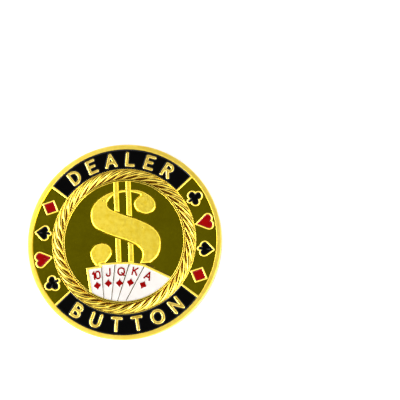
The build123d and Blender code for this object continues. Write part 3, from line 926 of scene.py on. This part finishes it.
def make_cards(shapes, metal):
    """White card faces between thin metal lines, with red indices and pips."""
    inside_ring = disc(ROPE_EDGE - CARD_GAP / 2)
    faces_of = [common(grown(shape, -CARD_GAP / 2), inside_ring) for shape in shapes]
    fan = union(*shapes)
    frame_line = common(grown(fan, CARD_BORDER), outside(grown(fan, -CARD_GAP / 2)),
                        disc(ROPE_EDGE + 0.05))
    raised("card_borders", frame_line, FAN_BOX, BORDER_PROFILE, metal, 0.05)
    for place, (left, right) in enumerate(zip(faces_of, faces_of[1:]), 1):
        line = common(fan, inside_ring, outside(left), outside(right),
                      grown(left, 1.5 * CARD_GAP), grown(right, 1.5 * CARD_GAP))
        raised(f"card_divider_{place}", line, FAN_BOX, DIVIDER_PROFILE, metal, 0.05)
    for (name, _, _, _, index_at, pip_at, turn), face in zip(CARDS, faces_of):
        index = placed(card_index(INDEX_TEXT[name]), index_at, turn)
        pip = placed(card_pip(), pip_at, turn)
        fill = common(face, outside(index), outside(pip))
        poured(f"card_{name}_face", fill, FAN_BOX, ENAMEL_PROFILE, "white_enamel",
               f"card_{name}_enamel", 0.06)
        for kind, shape, centre in (("index", index, index_at), ("pip", pip, pip_at)):
            poured(f"card_{name}_{kind}_fill", shape, around(centre, 2.2), MARK_PROFILE,
                   "red_enamel", f"card_{name}_{kind}", 0.04)


def make_card_ends(metal):
    """The rolled edges of the cards behind, seen past the top of the fan."""
    for number, (low, high, height) in enumerate(CARD_ENDS, 1):
        middle = ((low[0] + high[0]) / 2, (low[1] + high[1]) / 2)
        bow = arc_points(low, (middle[0], middle[1] + height), high)
        loop = lines_distance([bow, [low, high]], 0.24)
        reach = math.hypot(high[0] - low[0], high[1] - low[1]) / 2 + 1.0
        raised(f"card_end_{number}", loop, around(middle, reach), BORDER_PROFILE, metal, 0.05)


# ---- reverse ----

def rounded_card(side):
    """One of the two cards on the reverse."""
    half_width = BACK_CARD_WIDTH / 2 - BACK_CARD_CORNER
    half_height = BACK_CARD_HEIGHT / 2 - BACK_CARD_CORNER

    def distance(x, y):
        dx, dy = np.abs(x) - half_width, np.abs(y) - half_height
        corner = np.hypot(np.maximum(dx, 0), np.maximum(dy, 0))
        return corner + np.minimum(np.maximum(dx, dy), 0) - BACK_CARD_CORNER
    centre = (side * BACK_CARD_CENTRE[0], BACK_CARD_CENTRE[1])
    return placed(distance, centre, -side * BACK_CARD_TURN)


def make_back_cards(metal, ground):
    """Two crossed cards with fine beading, the right one over the left one."""
    right, left = rounded_card(1), rounded_card(-1)
    chip = disc(CHIP_RINGS[0][0] - 0.05, CHIP_CENTRE)
    seen_of = (("left", left, common(left, outside(right), outside(chip))),
               ("right", right, common(right, outside(chip))))
    for name, card, seen in seen_of:
        line = common(seen, outside(grown(card, -BACK_CARD_BORDER)))
        raised(f"back_card_border_{name}", line, BACK_BOX, BORDER_PROFILE, metal, 0.06, True)
        raised(f"back_card_ground_{name}", seen, BACK_BOX, GROUND_PROFILE, ground, 0.08, True)
    clear_left = common(grown(left, -0.85), outside(grown(right, 0.30)))
    beaded = common(union(grown(right, -0.85), clear_left), outside(grown(chip, 0.35)))
    make_beads(beaded, metal)


def make_beads(shape, metal):
    """Small round beads, scattered evenly over a shape."""
    random.seed(7)
    vertices, faces = [], []
    count, half, stray = 38, 14.2, 0.13
    sides = 10
    for row in range(count):
        for column in range(count):
            x = -half + 2 * half * (column + 0.5 * (row % 2)) / count
            x += random.uniform(-stray, stray)
            y = -half + 2 * half * row / count + random.uniform(-stray, stray)
            if shape(np.array(x), np.array(y)) > 0:
                continue
            size = random.uniform(0.20, 0.27)
            foot = len(vertices)
            for level, share in ((-0.03, 1.0), (0.07, 0.92), (0.14, 0.60)):
                for i in range(sides):
                    dx, dy = polar(size * share, 360 / sides * i)
                    vertices.append((x + dx, y + dy, CARD_Z + level))
            vertices.append((x, y, CARD_Z + 0.17))
            upper, crown = foot + 2 * sides, foot + 3 * sides
            for i in range(sides):
                j = (i + 1) % sides
                for low in (foot, foot + sides):
                    faces.append((low + i, low + j, low + sides + j, low + sides + i))
                faces.append((upper + i, upper + j, crown))
            faces.append(tuple(foot + i for i in reversed(range(sides))))
    struck("back_card_beads", vertices, faces, metal, reverse=True)


def make_chip(metal, rope, ground):
    """The chip over the cards: rim, band of lozenges, rope and a spade with rays."""
    cx, cy = CHIP_CENTRE
    (outer, outer_in), (rope_outer, rope_inner) = CHIP_RINGS

    def turned_piece(name, mesh, material, sharp):
        vertices = [(x + cx, y + cy, z) for x, y, z in mesh[0]]
        struck(name, vertices, mesh[1], material, sharp, True)

    rim = rounded_ring(outer_in, outer, UNDERSIDE, RELIEF_Z, 0.12)
    turned_piece("chip_rim", lathe(rim), metal, 50)
    raised("chip_ground", disc(outer_in + 0.1, CHIP_CENTRE), BACK_BOX, GROUND_PROFILE, ground,
           0.1, True)
    turned_piece("chip_rope", rope_mesh(rope_outer, rope_inner, CARD_Z, RELIEF_Z, 26, 30.0),
                 rope, 70)
    for name, low, high in (("outer", rope_outer, rope_outer + 0.16),
                            ("inner", rope_inner - 0.22, rope_inner - 0.04)):
        section = rounded_ring(low, high, FIELD_Z, RELIEF_Z - 0.05, 0.06)
        turned_piece(f"chip_ring_{name}", lathe(section), metal, 50)
    sizes = (LOZENGE_LONG, LOZENGE_WIDE) * 2
    corners = [polar(size, 90 * i) for i, size in enumerate(sizes)]
    for number in range(CHIP_LOZENGES):
        angle = 360 * number / CHIP_LOZENGES
        x, y = polar(LOZENGE_ORBIT, angle)
        facet(f"chip_lozenge_{number + 1}", corners, (x + cx, y + cy), angle, metal)
    spade = placed(suit("spade"), CHIP_CENTRE, 0)
    raised("chip_spade_outline", border(grown(spade, 0.25), 0.22), around(CHIP_CENTRE, 3.2),
           BORDER_PROFILE, metal, 0.05, True)
    raised("chip_spade", spade, around(CHIP_CENTRE, 3.0), SIGN_PROFILE, metal, 0.05, True)
    for number in range(CHIP_RAYS):
        angle = 360 * (number + 0.5) / CHIP_RAYS
        ray = lines_distance([[polar(RAY_START, angle), polar(RAY_END, angle)]], RAY_STROKE)
        x, y = polar((RAY_START + RAY_END) / 2, angle)
        raised(f"chip_ray_{number + 1}", placed(ray, CHIP_CENTRE, 0),
               around((x + cx, y + cy), 1.2), BORDER_PROFILE, metal, 0.05, True)


def facet(name, corners, centre, turn, metal):
    """A pointed boss over an outline, with one facet for each side of the outline."""
    c, s = math.cos(math.radians(turn)), math.sin(math.radians(turn))
    spots = [(centre[0] + x * c - y * s, centre[1] + x * s + y * c) for x, y in corners]
    count = len(spots)
    vertices = [(x, y, UNDERSIDE) for x, y in spots]
    vertices += [(x, y, FIELD_Z + 0.18) for x, y in spots]
    vertices.append((centre[0], centre[1], RELIEF_Z))
    faces = [tuple(reversed(range(count)))]
    for i in range(count):
        j = (i + 1) % count
        faces.append((i, j, count + j, count + i))
        faces.append((count + i, count + j, 2 * count))
    struck(name, vertices, faces, metal, 12, True)


def make_stars(metal):
    corners = [polar(STAR_RADIUS if i % 2 == 0 else STAR_WAIST, 36 * i) for i in range(10)]
    for side, start in (("right", 0), ("left", 180)):
        for place, offset in enumerate(STAR_ANGLES, 1):
            heading = start + offset
            facet(f"star_{side}_{place}", corners, polar(STAR_ORBIT, heading), heading, metal)


def make_back_words(metal):
    for name, text, middle, pitch, reads_inward in BACK_WORDS:
        letters = word(text, BACK_LETTER_RADIUS, middle, pitch, BACK_LETTER_HEIGHT,
                       BACK_LETTER_STROKE, reads_inward)
        raise_letters(f"back_{name}", letters, 2.1, BORDER_PROFILE, metal, True)


# ---- stage and light ----

FLOOR_HALF = 3.0


def make_floor():
    n = Nodes(bpy.data.materials.new("floor_paper"))
    shade = n.ramp(n.noise(30, 3), (0.3, (0.90, 0.90, 0.90)), (0.7, (0.93, 0.93, 0.93)))
    mesh = bpy.data.meshes.new("floor")
    signs = ((-1, -1), (1, -1), (1, 1), (-1, 1))
    corners = [(FLOOR_HALF * x, FLOOR_HALF * y, 0) for x, y in signs]
    mesh.from_pydata(corners, [], [(0, 1, 2, 3)])
    mesh.materials.append(n.surface({"Base Color": shade, "Roughness": 0.9}))
    floor = bpy.data.objects.new("floor", mesh)
    bpy.context.scene.collection.objects.link(floor)


def area_light(name, azimuth, elevation, distance, size, power):
    data = bpy.data.lights.new(name, "AREA")
    data.shape = "DISK"
    data.size = size
    data.energy = power
    light = bpy.data.objects.new(name, data)
    bpy.context.scene.collection.objects.link(light)
    across, up = polar(distance, elevation)
    away = Vector((*polar(across, azimuth), up))
    light.location = away
    light.rotation_mode = "QUATERNION"
    light.rotation_quaternion = away.to_track_quat("Z", "Y")


# The dark opening overhead faces the button's reflection of the camera
DARK_OPENING = (-0.105, 0.189, 0.976)
OPENING_EDGE = (0.83, 0.91)     # cosines to the opening between which the ring fades into it
RING_LEVEL, OPENING_LEVEL, HORIZON_LEVEL = 1.80, 0.05, 0.05
RING_FOOT = (0.42, 0.58)        # sines of the elevation over which the ring comes in
# azimuth, half width in degrees and brightness of the low windows
WINDOWS = ((188, 30, 11.0), (-38, 27, 9.0))
WINDOW_RISE = 0.55
WINDOW_SOFTNESS = 12
WINDOW_FOOT, WINDOW_TOP = (0.27, 0.35), (0.70, 0.58)    # sines of the elevation


def make_world():
    """A bright ring round a dark opening overhead, over a dim horizon with two windows."""
    n = Nodes(bpy.data.worlds.new("studio"))
    bpy.context.scene.world = n.owner
    direction = n.add("ShaderNodeTexCoord", {})["Generated"]
    height = n.add("ShaderNodeSeparateXYZ", {0: direction})["Z"]
    overhead = n.facing(direction, DARK_OPENING)
    ring_light = n.spread(overhead, *OPENING_EDGE, RING_LEVEL, OPENING_LEVEL)
    total = n.math("MULTIPLY", ring_light, n.spread(height, *RING_FOOT, 0.0, 1.0))
    total = n.math("ADD", total, HORIZON_LEVEL)
    between = n.math("MULTIPLY", n.spread(height, *WINDOW_TOP, 0.0, 1.0),
                     n.spread(height, *WINDOW_FOOT, 0.0, 1.0))
    for azimuth, half_width, level in WINDOWS:
        heading = Vector((*polar(1, azimuth), WINDOW_RISE)).normalized()
        edge = math.cos(math.radians(half_width))
        full = math.cos(math.radians(half_width - WINDOW_SOFTNESS))
        window = n.spread(n.facing(direction, heading), edge, full, 0.0, level)
        total = n.math("ADD", total, n.math("MULTIPLY", window, between))
    background = n.tree.nodes["Background"]
    n.put(background.inputs["Strength"], total)
    n.put(background.inputs["Color"], (1, 1, 1, 1))


# ---- assembly ----

make_camera()
bpy.context.scene.view_settings.view_transform = "Standard"

SATIN = gold("satin_gold", (0.99, 0.77, 0.08), (0.88, 0.63, 0.03), 700, (0.37, 0.46), 0.20,
             flank_polish=0.30, pits=0.6)
BRIGHT = gold("bright_gold", GOLD_LIGHT, GOLD_MID, 350, (0.38, 0.46), 0.02, flank_polish=0.30)
# Painted shade: the letters are a darker copy of the same plated gold, standing in for the shade on
# their tops
LETTER = gold("letter_gold_painted_shade", (0.84, 0.62, 0.13), (0.62, 0.42, 0.05), 900, (0.34, 0.44), 0.02,
              flank_polish=0.20)
# The rope gets a painted reddish-brown shade down in its grooves and notches
ROPE = gold("rope_gold", GOLD_LIGHT, GOLD_DEEP, 1100, (0.13, 0.22), 0.02, flank_polish=0.9,
            painted_shade=(0.13, 0.06, 0.015), painted_shade_span=(0.20, 0.62))
MIRROR = mirror_field()
ENAMEL_SHADES = {
    "black_enamel": ((0.0001, 0.0001, 0.0001), (0.0004, 0.0004, 0.0004)),
    "red_enamel": ((0.15, 0.0002, 0.0002), (0.21, 0.0005, 0.0005)),
    "white_enamel": ((0.47, 0.445, 0.42), (0.51, 0.485, 0.46)),
}
ENAMELS = {name: enamel(name, deep, light) for name, (deep, light) in ENAMEL_SHADES.items()}

make_blank(BRIGHT, MIRROR)
make_rope("obverse", ROPE_OUTER, ROPE_INNER, ROPE_EDGE, ROPE, BRIGHT)
make_rope("reverse", BACK_ROPE_OUTER, BACK_ROPE_INNER, BACK_ROPE_EDGE, ROPE, BRIGHT)
make_banners(LETTER)
make_separators("obverse", SEPARATORS, ROPE_OUTER, BRIGHT)
make_suits(BRIGHT)
CARD_SHAPES = card_shapes()
make_currency_sign(union(*CARD_SHAPES), SATIN)
make_cards(CARD_SHAPES, BRIGHT)
make_card_ends(BRIGHT)
make_separators("reverse", BACK_SEPARATORS, BACK_ROPE_OUTER, BRIGHT)
make_back_words(SATIN)
make_stars(BRIGHT)
make_back_cards(BRIGHT, MIRROR)
make_chip(BRIGHT, ROPE, MIRROR)

make_floor()
make_world()
area_light("key_box", 150, 45, 0.8, 0.45, 1.2)
area_light("fill_box", -40, 45, 0.8, 0.45, 1.0)

bpy.context.view_layer.update()
